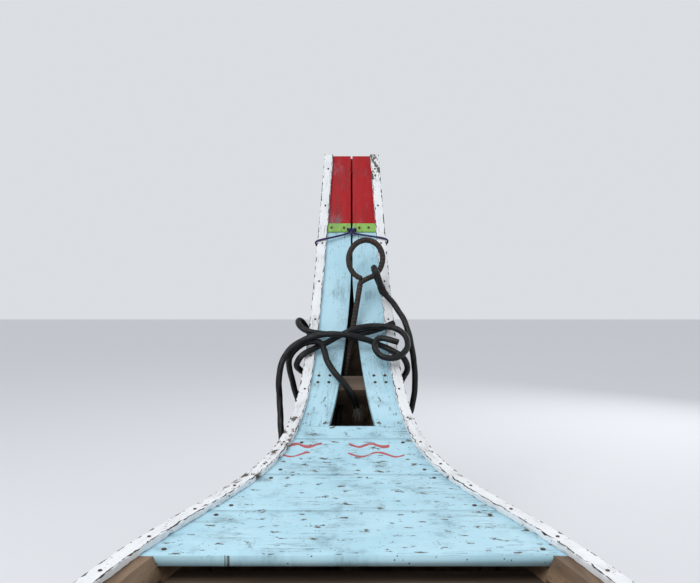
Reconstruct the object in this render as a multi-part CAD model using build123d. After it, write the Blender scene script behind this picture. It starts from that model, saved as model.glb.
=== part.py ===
from build123d import *
import math
import os

# Plank-built lake canoe with a tall upswept bow. Millimetres, +Y forward, +X starboard, +Z up.
# The origin is on the ground under the middle of the flat bottom.
os.makedirs("parts", exist_ok=True)

# ---- Hull shape ----
half_length = 3050.0
midship_depth = 407.0        # top edge of the side planks above the ground, amidships
half_beam = 470.0
tip_half_width = 96.0        # half width over the side planks at the end of the prow
taper_share = 0.34           # share of the widening that comes from a long taper
swell_middle = 0.48          # where the rest of it comes, as a share of the way to amidships
swell_length = 0.055
tip_depth = 100.0            # height of the side planks at the end of the prow
full_depth_girth = 1366.0    # distance back from the tip at which the side planks would be full_depth
full_depth = 400.0
end_rake = 72.0              # slope of the top edge at the tip, degrees
bend_middle = 905.0          # distance back from the tip to the middle of the upward bend
bend_length = 210.0
side_flare = 0.42            # sideways run of a side plank for each unit of its depth

# ---- Plank and timber sizes ----
side_thickness = 20.0
bottom_thickness = 25.0
face_thickness = 18.0
gap = 0.3                    # clearance between neighbouring pieces
stem_gap = 0.8               # the same between a stem plank and the bent side planks above it
cap_thickness = 13.0
cap_overhang = 4.0
cap_width = 32.0
inwale_width = 28.0
inwale_height = 38.0
ledger_width = 24.0
ledger_height = 28.0
seam_share = 0.52            # share of the side depth taken by the upper plank
floor_height = 40.0
floor_width = 45.0
rib_width = 32.0
rib_thickness = 26.0
bottom_joint = 1725.0        # distance back from the tip to the end of the bent stem plank

# ---- Bow opening and decks, as distances back from the tip ----
slot_half_width = 3.0
slot_end = 490.0             # where the narrow slot starts to widen
foot_half_width = 66.0       # half width of the opening at its foot
opening_foot = 1134.0
cross_plank_width = 71.0
deck_plank_width = 236.0
deck_planks = 3
band_start = 277.0
band_width = 34.0
band_thickness = 4.0
breast_beam_start = 868.0
breast_beam_width = 60.0
breast_beam_depth = 62.0
tip_block_length = 60.0

# ---- Cockpit ----
timber_places = (0.0, 450.0, 950.0, 1350.0, 1690.0)
thwart_place = 750.0
thwart_width = 200.0
thwart_thickness = 24.0
thwart_drop = 70.0           # top of the thwart below the top edge of the side planks
riser_height = 45.0
slat_thickness = 14.0
slat_joint = 9.0
batten_height = 20.0
batten_width = 50.0
# each panel: its aft and fore edges, its slats, their width, and the places of its battens
panels = {"middle": (-600.0, 600.0, 4, 116.0, (-225.0, 225.0)),
          "fore": (885.0, 1425.0, 3, 97.0, (1040.0, 1250.0)),
          "aft": (-1425.0, -885.0, 3, 97.0, (-1250.0, -1040.0))}

# ---- Nails ----
nail_head = 9.0
cap_nail_head = 6.5
nail_proud = 1.5
nail_shank = 3.5
nail_length = 22.0
cap_nail_spacing = 150.0
deck_nail_inset = 26.0

# ---- Mooring stake: a ribbed bar with a ring bent at its top ----
bar_diameter = 20.0
ring_outer = 134.0           # width over the ring
ring_tall = 152.0            # its height, for it is drawn into an egg shape
stake_pass = (-2.0, 2622.0, 706.0)   # point of its axis where it goes down through the opening
stake_lean = (0.165, 0.20)           # starboard and forward run for each unit of height
stake_below = 294.2                  # length of the shank below that point
ring_above = 272.0                   # length of the axis from that point up to the ring's centre
ring_side = 5.0              # how far the ring's centre lies to starboard of the shank's axis
eye_angle = -42.0            # where the rope's eye hangs on the ring, from starboard round upwards

# ---- Ropes and cord: places of their routes, from the eye and from the cut end in the coil ----
rope_diameter = 20.0
eye_clearance = 3.3          # between the eye's strand and the bar that it hangs on
eye_straight = 18.0          # how far the eye's legs run straight down past the bar
eye_stop = 16.0              # where the legs end, short of the main rope's first place
whipping_start = 18.0
whipping_height = 11.0
main_rope = [
    (104, 2657, 858), (127, 2654, 835), (149, 2645, 805), (173, 2627, 766), (186, 2605, 722), (194, 2588, 675),
    (204, 2613, 623), (206, 2600, 547), (190, 2593, 461), (140, 2595, 380), (75, 2595, 302), (-20, 2561, 259),
    (-105, 2501, 254), (-180, 2450, 302), (-212, 2442, 381), (-225, 2518, 515), (-229, 2511, 572),
    (-225, 2525, 626), (-205, 2539, 671), (-168, 2552, 701), (-114, 2553, 722), (-57, 2551, 726), (-6, 2550, 722),
    (39, 2565, 709), (90, 2572, 689), (131, 2558, 671), (164, 2539, 654), (180, 2540, 615), (162, 2589, 581),
    (142, 2607, 507), (112, 2618, 432), (62, 2643, 356), (-30, 2641, 338), (-110, 2628, 379), (-160, 2621, 455),
    (-185, 2610, 536), (-199, 2582, 604), (-203, 2559, 638), (-188, 2561, 670), (-157, 2574, 693),
    (-124, 2567, 702), (-96, 2551, 699), (-86, 2524, 673), (-77, 2500, 644), (-57, 2480, 614), (-30, 2472, 586),
    (-9, 2471, 559), (5, 2479, 531), (14, 2491, 503)]
short_rope = [
    (145, 2530, 701), (111, 2544, 711), (81, 2552, 713), (67, 2535, 689), (87, 2507, 659), (124, 2500, 650),
    (159, 2514, 662), (181, 2546, 691), (170, 2577, 724), (143, 2592, 742), (101, 2598, 748), (56, 2600, 748),
    (13, 2590, 742), (-22, 2582, 727), (-57, 2576, 709), (-86, 2577, 693), (-118, 2566, 679), (-145, 2550, 668),
    (-169, 2543, 647), (-180, 2563, 619), (-142, 2599, 590), (-128, 2645, 599), (-126, 2682, 633),
    (-132, 2700, 680), (-146, 2703, 724), (-164, 2690, 758), (-179, 2662, 767), (-175, 2630, 750),
    (-157, 2612, 736), (-130, 2607, 728), (-97, 2605, 722), (-51, 2604, 721), (-3, 2601, 718), (40, 2607, 725),
    (82, 2615, 734), (112, 2624, 746), (139, 2633, 757)]
tie_diameter = 7.0
# distance from the tip, starboard and into the hull, round the prow from knot to knot
tie_places = [
    (318, -8, -10), (336, -58, -14), (348, -104, -19.5), (354, -127, -15), (357, -127, 4), (361, -101, 62),
    (366, -72, 125), (368, -56, 160), (369, -38, 170), (369, 38, 170), (368, 56, 160), (364, 72, 125),
    (357, 101, 62), (350, 127, 4), (347, 127, -15), (341, 104, -19.5), (332, 58, -14), (320, 8, -10)]
knot_place = (312, 0, -13.5)
knot_size = (34.0, 30.0, 17.0)

# ---- Worked out from the sizes above ----
GIRTH_STEP = 5.0
STATION_STEP = 75.0


def rake_at(s):
    """Slope of the top edge in radians at the distance s back from the tip."""
    return math.radians(end_rake) / (1 + math.exp((s - bend_middle) / bend_length))


def sheer_table():
    """Run and rise of the top edge, added up from the tip back to amidships."""
    tip_y = half_length - (tip_depth + gap + bottom_thickness) * math.sin(rake_at(0))
    rows = [(0.0, 0.0, 0.0)]
    while rows[-1][1] < tip_y:
        s, run, rise = rows[-1]
        slope = rake_at(s + GIRTH_STEP / 2)
        rows.append((s + GIRTH_STEP, run + GIRTH_STEP * math.cos(slope), rise + GIRTH_STEP * math.sin(slope)))
    return tip_y, rows


TIP_Y, SHEER = sheer_table()
HALF_GIRTH = SHEER[-1][0] - (SHEER[-1][1] - TIP_Y)
TIP_Z = midship_depth + SHEER[-1][2]


def sheer_at(s):
    """Y and Z of the top edge of the side planks at the distance s back from the tip."""
    index = min(int(s / GIRTH_STEP), len(SHEER) - 2)
    share = s / GIRTH_STEP - index
    run = SHEER[index][1] + share * (SHEER[index + 1][1] - SHEER[index][1])
    rise = SHEER[index][2] + share * (SHEER[index + 1][2] - SHEER[index][2])
    return TIP_Y - run, TIP_Z - rise


def girth_at(y):
    """Distance back from the tip at which the top edge is above the place y."""
    for s, run, _ in SHEER:
        if TIP_Y - run <= y:
            return s - (y - (TIP_Y - run)) / math.cos(rake_at(s))
    return HALF_GIRTH


def half_width(s):
    """Half width over the side planks at their top edge: a long taper and an S-shaped swell."""
    along = s / HALF_GIRTH
    low, here, high = (1 / (1 + math.exp(-(p - swell_middle) / swell_length)) for p in (0, along, 1))
    taper = math.sin(along * math.pi / 2)
    swell = taper_share * taper + (1 - taper_share) * (here - low) / (high - low)
    return tip_half_width + (half_beam - tip_half_width) * swell


def depth(s):
    """Height of the side planks: growing from the tip, until it meets the flat bottom."""
    flat = (sheer_at(s)[1] - bottom_thickness - stem_gap) / math.cos(rake_at(s))
    growth = math.log(full_depth / tip_depth)
    grown = tip_depth * math.exp(growth * (s / full_depth_girth) ** 1.25)
    return (flat ** -10 + grown ** -10) ** -0.1


def outer_half(s, n):
    """Half width over the side planks at the depth n under the top edge."""
    return half_width(s) - side_flare * n


def inner_half(s, n):
    """Half width between the side planks at the depth n, with the clearance taken off."""
    return outer_half(s, n) - side_thickness * math.hypot(1, side_flare) - gap


def opening_half(s):
    """Half width of the slot and of the opening it widens into."""
    share = max(0.0, (s - slot_end) / (opening_foot - slot_end))
    return slot_half_width + (foot_half_width - slot_half_width) * share ** 1.3


def place(s, x, n):
    """The point at the distance s from the tip, x to starboard and n into the hull."""
    y, z = sheer_at(s)
    slope = rake_at(s)
    return Vector(x, y + n * math.sin(slope), z - n * math.cos(slope))


def stations(start, end):
    """Places from start to end: the ends themselves and the common stations between them."""
    inside = [STATION_STEP * i for i in range(1, int(HALF_GIRTH / STATION_STEP) + 1)]
    return [start] + [s for s in inside if start + 30 < s < end - 30] + [end]


def carry(section, places):
    """Loft a closed outline of (x, n) points, given by section(s), through the places."""
    wires = [Wire.make_polygon([place(s, x, n) for x, n in section(s)], close=True) for s in places]
    return Solid.make_loft(wires, ruled=len(places) == 2)


def both_ends(node, solids):
    """Write the bow node and its mirror image at the stern."""
    write("bow_" + node, solids)
    write("stern_" + node, [solid.mirror(Plane.XZ) for solid in solids])


def write(node, solids):
    shape = solids[0] if len(solids) == 1 else Compound(children=list(solids))
    export_step(shape, f"parts/{node}.step")


SIDES = {"starboard": 1, "port": -1}


# ---- Side planks: an upper and a lower one on each side, butted amidships ----
def side_section(side, low_share, high_share):
    def section(s):
        tall = depth(s)
        slant = math.hypot(1, side_flare)
        top, foot = low_share * tall, high_share * tall
        inward = side_thickness / slant
        drop = side_thickness * side_flare / slant
        points = [(outer_half(s, top), top), (outer_half(s, foot), foot)]
        points += [(outer_half(s, foot) - inward - drop * side_flare, foot),
                   (outer_half(s, top) - inward - drop * side_flare, top)]
        return [(side * x, n) for x, n in points]
    return section


def side_planks():
    places = stations(0, HALF_GIRTH - gap / 2)
    for name, side in SIDES.items():
        seam = gap / 2 / full_depth
        upper = carry(side_section(side, 0.0, seam_share - seam), places)
        lower = carry(side_section(side, seam_share + seam, 1.0), places)
        both_ends(f"upper_plank_{name}", [upper])
        both_ends(f"lower_plank_{name}", [lower])


# ---- Bottom: three flat planks and a bent stem plank at each end ----
def stem_section(s):
    top = depth(s) + stem_gap
    low, high = outer_half(s, top), outer_half(s, top + bottom_thickness)
    return [(low, top), (high, top + bottom_thickness), (-high, top + bottom_thickness), (-low, top)]


def bottom_edge(y):
    s = girth_at(abs(y))
    return outer_half(s, depth(s) + bottom_thickness)


def bottom_planks():
    stem = carry(stem_section, stations(0, bottom_joint))
    both_ends("stem_plank", [stem])
    end = sheer_at(bottom_joint)[0] - 1.0
    centre = bottom_edge(end) / 2
    ys = [end * (i / 8 - 1) for i in range(17)]
    write("bottom_plank_centre", [Pos(0, 0, bottom_thickness / 2) * Box(2 * centre, 2 * end, bottom_thickness)])
    for name, side in SIDES.items():
        inner = side * (centre + gap)
        edge = Spline([(side * bottom_edge(y), y) for y in ys])
        outline = [edge, Line(edge @ 1, (inner, end)), Line((inner, end), (inner, -end)),
                   Line((inner, -end), edge @ 0)]
        plank = extrude(make_face(outline), bottom_thickness, dir=(0, 0, 1))
        write(f"bottom_plank_{name}", [plank.solid()])


# ---- Long timbers along the top edge ----
def cap_rails():
    for name, side in SIDES.items():
        def section(s, side=side):
            outer = half_width(s) + cap_overhang
            inner = outer - cap_width
            return [(side * outer, -gap), (side * inner, -gap),
                    (side * inner, -gap - cap_thickness), (side * outer, -gap - cap_thickness)]
        both_ends(f"cap_rail_{name}", [carry(section, stations(0, HALF_GIRTH - gap / 2))])


def along_side(side, top, tall, wide):
    """Outline of a timber that lies against the inner face of the side planks."""
    def section(s):
        upper, lower = inner_half(s, top), inner_half(s, top + tall)
        return [(side * upper, top), (side * lower, top + tall),
                (side * (lower - wide), top + tall), (side * (upper - wide), top)]
    return section


DECK_START = opening_foot + cross_plank_width + 2 * gap
DECK_END = DECK_START + deck_planks * (deck_plank_width + gap)


def ledgers_and_inwales():
    ledgers = []
    for side in SIDES.values():
        section = along_side(side, face_thickness + gap, ledger_height, ledger_width)
        ledgers.append(carry(section, stations(tip_block_length + gap, breast_beam_start - gap)))
        after = breast_beam_start + breast_beam_width + gap
        ledgers.append(carry(section, stations(after, DECK_END)))
    both_ends("deck_ledgers", ledgers)
    for name, side in SIDES.items():
        section = along_side(side, gap, inwale_height, inwale_width)
        both_ends(f"inwale_{name}", [carry(section, stations(DECK_END + gap, HALF_GIRTH - gap / 2))])


# ---- Bow faces, bands and decks ----
def stern_slot(s):
    """The stern face has no opening: its slot stays narrow to its foot."""
    return slot_half_width / 2


def face_planks(prefix, half_slot, mirror):
    for name, side in SIDES.items():
        def section(s, side=side):
            inner = half_slot(s)
            return [(side * inner, 0), (side * inner_half(s, 0), 0),
                    (side * inner_half(s, face_thickness), face_thickness), (side * inner, face_thickness)]
        plank = carry(section, stations(0, opening_foot - gap))
        write(f"{prefix}_face_plank_{name}", [plank.mirror(Plane.XZ) if mirror else plank])


def band_strips():
    strips = []
    for side in SIDES.values():
        def section(s, side=side):
            inner = opening_half(s) + 1.0
            outer = half_width(s) + cap_overhang - cap_width - gap
            return [(side * inner, -gap), (side * outer, -gap),
                    (side * outer, -gap - band_thickness), (side * inner, -gap - band_thickness)]
        strips.append(carry(section, [band_start, band_start + band_width]))
    write("bow_band_strips", strips)


def athwart(start, width, top, tall):
    """A timber across the hull that fits between the side planks."""
    def section(s):
        upper, lower = inner_half(s, top), inner_half(s, top + tall)
        return [(upper, top), (lower, top + tall), (-lower, top + tall), (-upper, top)]
    return carry(section, [start, start + width / 2, start + width])


def decks_and_beams():
    both_ends("cross_plank", [athwart(opening_foot + gap, cross_plank_width, 0, face_thickness)])
    for index in range(deck_planks):
        start = DECK_START + index * (deck_plank_width + gap)
        both_ends(f"deck_plank_{index + 1}", [athwart(start, deck_plank_width, 0, face_thickness)])
    top = face_thickness + gap
    both_ends("breast_beam", [athwart(breast_beam_start, breast_beam_width, top, breast_beam_depth)])
    under = face_thickness + ledger_height + 2 * gap
    beams = [athwart(start, 50.0, under, 45.0) for start in (opening_foot + 20, DECK_END - 360, DECK_END - 52)]
    both_ends("deck_beams", beams)

    def block(s):
        low = depth(s) - gap
        upper, lower = inner_half(s, top), inner_half(s, low)
        return [(upper, top), (lower, low), (-lower, low), (-upper, top)]
    both_ends("tip_block", [carry(block, [0.0, tip_block_length])])


# ---- Frames: a floor timber and two ribs at each place ----
def frames():
    timbers, ribs = [], []
    for y in timber_places:
        under_deck = y + floor_width > sheer_at(DECK_END)[0]
        top = (face_thickness + ledger_height if under_deck else inwale_height) + 3 * gap
        timber, pair = frame_at(y, top)
        timbers.append(timber)
        ribs += pair
        if y > 0:
            timbers.append(timber.mirror(Plane.XZ))
            ribs += [rib.mirror(Plane.XZ) for rib in pair]
    write("floor_timbers", timbers)
    write("side_ribs", ribs)


def upright(y, outline, width):
    """A timber in the upright plane at y, from an outline of (x, z) points."""
    face = make_face(Polyline([(x, y + width / 2, z) for x, z in outline], close=True))
    return extrude(face, width, dir=(0, -1, 0)).solid()


def frame_at(y, rib_top):
    ends = [girth_at(max(0.0, y + step)) for step in (-floor_width / 2, floor_width / 2)]
    base = bottom_thickness + gap

    def wall(z):
        return min(inner_half(s, (sheer_at(s)[1] - z) / math.cos(rake_at(s))) for s in ends) - gap
    high = base + floor_height
    timber = upright(y, [(-wall(base), base), (wall(base), base), (wall(high), high), (-wall(high), high)],
                     floor_width)
    low, top = high + gap, min(sheer_at(s)[1] for s in ends) - rib_top
    pair = []
    for side in SIDES.values():
        outline = [(side * wall(low), low), (side * wall(top), top),
                   (side * (wall(top) - rib_thickness), top), (side * (wall(low) - rib_thickness), low)]
        pair.append(upright(y, outline, rib_width))
    return timber, pair


# ---- Thwarts on risers ----
def thwarts():
    risers = []
    for name, y in (("fore", thwart_place), ("aft", -thwart_place)):
        s = girth_at(abs(y) + thwart_width / 2)
        top = sheer_at(s)[1] - thwart_drop
        foot = top - thwart_thickness
        half = inner_half(s, thwart_drop + thwart_thickness) - gap
        seat = Pos(0, y, top - thwart_thickness / 2) * Box(2 * half, thwart_width, thwart_thickness)
        write(f"{name}_thwart", [fillet(seat.edges().filter_by(Axis.X), 6.0).solid()])
        for side in SIDES.values():
            low = foot - gap - riser_height
            reach = inner_half(s, sheer_at(s)[1] - low) - gap
            reach_top = inner_half(s, sheer_at(s)[1] - foot + gap) - gap
            outline = [(side * reach, low), (side * reach_top, foot - gap),
                       (side * (reach - 28.0), foot - gap), (side * (reach - 28.0), low)]
            risers.append(upright(y, outline, thwart_width))
    write("thwart_risers", risers)


# ---- Floorboard panels, which lift out ----
def floorboards():
    base = bottom_thickness + floor_height + 2 * gap
    for name, (start, end, slats, slat_width, battens) in panels.items():
        pieces = []
        for index in range(slats):
            x = (index - (slats - 1) / 2) * (slat_width + slat_joint)
            slat = Box(slat_width, end - start, slat_thickness)
            slat = fillet(slat.edges().filter_by(Axis.Y), 3.0)
            pieces.append((Pos(x, (start + end) / 2, base + slat_thickness / 2) * slat).solid())
        half = (slats - 1) / 2 * (slat_width + slat_joint) + slat_width / 2
        for y in battens:
            batten = Box(2 * half - 20.0, batten_width, batten_height)
            pieces.append((Pos(0, y, base - gap - batten_height / 2) * batten).solid())
        write(f"{name}_floorboards", pieces)


# ---- Nails, with flat heads, driven into the planks ----
def nail(s, x, surface, mirror=False, head_width=nail_head):
    """A nail at the distance s from the tip whose head lies on the surface at the depth given."""
    spot = Plane(origin=place(s, x, surface), x_dir=(1, 0, 0), z_dir=place(s, x, surface - 1) - place(s, x, surface))
    head = Pos(0, 0, nail_proud / 2) * Cylinder(head_width / 2, nail_proud)
    shank = Pos(0, 0, -nail_length / 2 + nail_proud / 2) * Cylinder(nail_shank / 2, nail_length + nail_proud)
    solid = (spot * (head + shank)).solid()
    return solid.mirror(Plane.XZ) if mirror else solid


def nails():
    cap_top = -gap - cap_thickness
    heads = []
    for s in [60 + cap_nail_spacing * i for i in range(int((HALF_GIRTH - 80) / cap_nail_spacing) + 1)]:
        for side in SIDES.values():
            x = side * (half_width(s) + cap_overhang - cap_width / 2 - 2)
            heads += [nail(s, x, cap_top, mirror, cap_nail_head) for mirror in (False, True)]
    write("cap_nails", heads)
    band = [nail(band_start + band_width / 2, x, -gap - band_thickness) for x in (-72.0, -27.0, 27.0, 60.0)]
    write("band_nails", band)
    face = []
    for mirror in (False, True):
        for s in (breast_beam_start + 16, breast_beam_start + 46):
            edge = inner_half(s, 0)
            inner = opening_half(s)
            for side in SIDES.values():
                face += [nail(s, side * (inner + (edge - inner) * share), 0, mirror) for share in (0.35, 0.72)]
        for s in [DECK_START + deck_plank_width * step for step in (0.12, 0.88, 1.12, 1.88, 2.12, 2.88)]:
            for side in SIDES.values():
                face.append(nail(s, side * (half_width(s) + cap_overhang - cap_width - deck_nail_inset), 0, mirror))
    write("deck_nails", face)


# ---- Mooring stake: a bar with its upper end bent into a ring ----
LEAN = Vector(stake_lean[0], stake_lean[1], 1).normalized()
FACING = (Vector(0, 1, 0) - LEAN * LEAN.Y).normalized()
RIGHT = FACING.cross(LEAN)
RING_CENTRE = Vector(*stake_pass) + LEAN * ring_above + RIGHT * ring_side
RING_RADIUS = (ring_outer - bar_diameter) / 2
RING_TALL = (ring_tall - bar_diameter) / 2


def stake():
    start = Vector(*stake_pass)
    foot = start - LEAN * stake_below
    neck = start + LEAN * (ring_above - RING_TALL)
    shank = Plane(origin=foot, z_dir=LEAN) * Cylinder(bar_diameter / 2, (neck - foot).length,
                                                     align=(Align.CENTER, Align.CENTER, Align.MIN))
    bend = Edge.make_ellipse(RING_RADIUS, RING_TALL, Plane(origin=RING_CENTRE, x_dir=RIGHT, z_dir=FACING))
    ring = sweep(Plane(origin=bend @ 0, z_dir=bend % 0) * Circle(bar_diameter / 2), path=bend)
    write("mooring_stake", [(shank + ring).solid()])


# ---- Ropes and cord: round tubes of straight runs joined by arcs ----
def corner_radii(points):
    """The radius of each arc: as large as its two runs allow."""
    radii = []
    for before, corner, after in zip(points, points[1:], points[2:]):
        turn = math.radians((corner - before).get_angle(after - corner))
        shorter = min((corner - before).length, (after - corner).length)
        radii.append(0.45 * shorter / math.tan(turn / 2))
    return radii


def tube(name, points, diameter, radii=None):
    points = [Vector(*point) for point in points]
    radii = radii or corner_radii(points)
    path = FilletPolyline(*points, radius=radii)
    start = Plane(origin=path @ 0, z_dir=path % 0)
    solid = sweep(start * Circle(diameter / 2), path=path).solid()
    print(name, "length", round(path.length), "volume share",
          round(solid.volume / (math.pi * diameter ** 2 / 4 * path.length), 4),
          "radii", [round(radius) for radius in radii])
    return solid


def rope_eye():
    """The spliced eye that hangs on the ring, and the whipping that closes it."""
    angle = math.radians(eye_angle)
    bar = RING_CENTRE + RIGHT * math.cos(angle) * RING_RADIUS + LEAN * math.sin(angle) * RING_TALL
    pull = Vector(*main_rope[0]) - bar
    down = pull.normalized()
    back = (FACING - down * FACING.dot(down)).normalized()
    wrap = (bar_diameter + rope_diameter) / 2 + eye_clearance
    close = rope_diameter / 2 + gap
    leg = pull.length - eye_stop
    points = [bar + down * leg - back * close, bar + down * eye_straight - back * wrap,
              bar - down * wrap - back * wrap, bar - down * wrap + back * wrap,
              bar + down * eye_straight + back * wrap, bar + down * leg + back * close]
    slant = leg - eye_straight
    turn = 0.45 * slant / math.tan(math.atan((wrap - close) / slant) / 2)
    bend = wrap - 0.1
    write("rope_eye", [tube("rope_eye", [tuple(p) for p in points], rope_diameter, [turn, bend, bend, turn])])
    block = Plane(origin=bar + down * (pull.length - whipping_start), x_dir=back, z_dir=down)
    width = 4 * close + 3.0
    whipping = extrude(block * SlotOverall(width, rope_diameter + 4.0), whipping_height)
    write("rope_eye_whipping", [whipping.solid()])


def ropes():
    rope_eye()
    write("mooring_rope_main", [tube("main rope", main_rope, rope_diameter)])
    write("mooring_rope_short", [tube("short rope", short_rope, rope_diameter)])
    route = [place(*spot) for spot in tie_places]
    write("purple_tie", [tube("tie", [tuple(spot) for spot in route], tie_diameter)])
    centre = place(*knot_place)
    outward = place(knot_place[0], 0, knot_place[2] - 1) - centre
    knot = Plane(origin=centre, x_dir=(1, 0, 0), z_dir=outward) * Box(*knot_size)
    write("purple_tie_knot", [fillet(knot.edges(), 6.0).solid()])


if __name__ == "__main__":
    side_planks()
    bottom_planks()
    cap_rails()
    ledgers_and_inwales()
    face_planks("bow", opening_half, False)
    face_planks("stern", stern_slot, True)
    band_strips()
    decks_and_beams()
    frames()
    thwarts()
    floorboards()
    nails()
    stake()
    ropes()
    print("half girth", round(HALF_GIRTH), "tip", round(TIP_Y), round(TIP_Z))
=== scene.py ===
import math
import bmesh
import bpy
import numpy as np
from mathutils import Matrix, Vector


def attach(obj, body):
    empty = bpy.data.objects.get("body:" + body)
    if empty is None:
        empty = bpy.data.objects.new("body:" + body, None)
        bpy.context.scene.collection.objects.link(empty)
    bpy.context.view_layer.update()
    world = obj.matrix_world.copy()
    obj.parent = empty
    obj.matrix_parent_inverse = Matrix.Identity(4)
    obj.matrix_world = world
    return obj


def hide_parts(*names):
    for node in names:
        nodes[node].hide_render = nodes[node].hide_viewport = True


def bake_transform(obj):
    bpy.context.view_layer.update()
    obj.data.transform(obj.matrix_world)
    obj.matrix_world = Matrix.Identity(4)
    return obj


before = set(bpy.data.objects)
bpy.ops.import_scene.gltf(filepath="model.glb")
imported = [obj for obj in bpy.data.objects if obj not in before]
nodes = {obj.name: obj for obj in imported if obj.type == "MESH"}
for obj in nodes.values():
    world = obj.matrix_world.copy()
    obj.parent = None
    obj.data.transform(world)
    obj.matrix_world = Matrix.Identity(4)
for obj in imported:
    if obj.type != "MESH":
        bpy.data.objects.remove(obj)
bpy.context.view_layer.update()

# ---- Setting: pale floor, overcast light and a rower's view towards the bow ----
# The viewer sits on the boat's axis a little ahead of its middle and looks level at the prow.
EYE = (-0.006, 0.315, 0.860)
LENS = 36.26
scene = bpy.context.scene
scene.view_settings.view_transform = "Standard"
camera = bpy.data.objects.new("camera", bpy.data.cameras.new("camera"))
camera.data.lens, camera.data.sensor_width = LENS, 36.0
camera.location, camera.rotation_euler = EYE, (math.pi / 2, 0, 0)
scene.collection.objects.link(camera)
scene.camera = camera

sky = bpy.data.worlds.new("overcast")
sky.use_nodes = True
sky.node_tree.nodes["Background"].inputs["Color"].default_value = (0.86, 0.89, 0.93, 1)
sky.node_tree.nodes["Background"].inputs["Strength"].default_value = 0.82
scene.world = sky


def lamp(name, place, target, size, power):
    """A large soft lamp at a place, turned towards a target."""
    light = bpy.data.objects.new(name, bpy.data.lights.new(name, "AREA"))
    light.data.shape, light.data.size, light.data.energy = "DISK", size, power
    way = Vector(target) - Vector(place)
    light.location = place
    light.rotation_euler = way.to_track_quat("-Z", "Y").to_euler()
    scene.collection.objects.link(light)


lamp("cloud", (-1.6, -0.4, 3.6), (0, 2.6, 0.8), 3.0, 90)
lamp("lake_glow", (2.4, 5.2, 2.2), (0, 2.7, 0.9), 2.5, 35)


def shade(name):
    """A new material: its node tree and its Principled shader."""
    material = bpy.data.materials.new(name)
    material.use_nodes = True
    tree = material.node_tree
    return material, tree, tree.nodes["Principled BSDF"]


floor_mesh = bpy.data.meshes.new("floor")
floor_mesh.from_pydata([(-14, -10, 0), (14, -10, 0), (14, 22, 0), (-14, 22, 0)], [], [(0, 1, 2, 3)])
floor = bpy.data.objects.new("floor", floor_mesh)
scene.collection.objects.link(floor)
floor_paint, _, floor_shader = shade("floor_grey")
floor_shader.inputs["Base Color"].default_value = (0.74, 0.75, 0.77, 1)
floor_shader.inputs["Roughness"].default_value = 0.9
floor_mesh.materials.append(floor_paint)

# ---- Hull planks: two on each side, three along the bottom and a bent one at each end ----
# Long sawn planks, nailed edge to edge, tarred black-brown outside and left bare inside.
HULL_NODES = [n for n in nodes if "upper_plank" in n or "lower_plank" in n or "stem" in n or "bottom" in n]


def put(tree, kind, settings=None, **inputs):
    """Add a node. Inputs are values or sockets, by name with _ for a space, or i0, i1 by place."""
    node = tree.nodes.new("ShaderNode" + kind)
    for key, value in (settings or {}).items():
        setattr(node, key, value)
    for key, value in inputs.items():
        place = int(key[1:]) if key[0] == "i" and key[1:].isdigit() else key.replace("_", " ")
        if isinstance(value, bpy.types.NodeSocket):
            tree.links.new(value, node.inputs[place])
        else:
            node.inputs[place].default_value = value
    return node


def sums(tree, operation, first, second=0.0, clamp=False):
    """One step of arithmetic on values or sockets."""
    return put(tree, "Math", {"operation": operation, "use_clamp": clamp}, i0=first, i1=second).outputs[0]


def blendin(tree, factor, low, high):
    """Mix two colours by a factor."""
    node = put(tree, "Mix", {"data_type": "RGBA"}, Factor=factor)
    for socket, value in ((node.inputs[6], low), (node.inputs[7], high)):
        if isinstance(value, bpy.types.NodeSocket):
            tree.links.new(value, socket)
        else:
            socket.default_value = (*value, 1.0)
    return node.outputs[2]


def step(tree, value, low, high):
    """A smooth step from 0 at low to 1 at high."""
    node = put(tree, "MapRange", {"interpolation_type": "SMOOTHSTEP"}, Value=value, From_Min=low,
               From_Max=high)
    return node.outputs[0]


def noise(tree, vector, scale, detail=4.0, rough=0.55):
    """Cloudy noise from 0 to 1."""
    node = put(tree, "TexNoise", None, Vector=vector, Scale=scale, Detail=detail, Roughness=rough)
    return node.outputs["Fac"]


def stretched(tree, source, x, y, z=1.0):
    """Coordinates stretched by x, y and z."""
    return put(tree, "Mapping", {"vector_type": "POINT"}, Vector=source, Scale=(x, y, z)).outputs[0]


def bump(tree, shader, height, strength, distance):
    """Raise the shader's surface by a height."""
    node = put(tree, "Bump", None, Height=height, Strength=strength, Distance=distance)
    tree.links.new(node.outputs[0], shader.inputs["Normal"])


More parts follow.
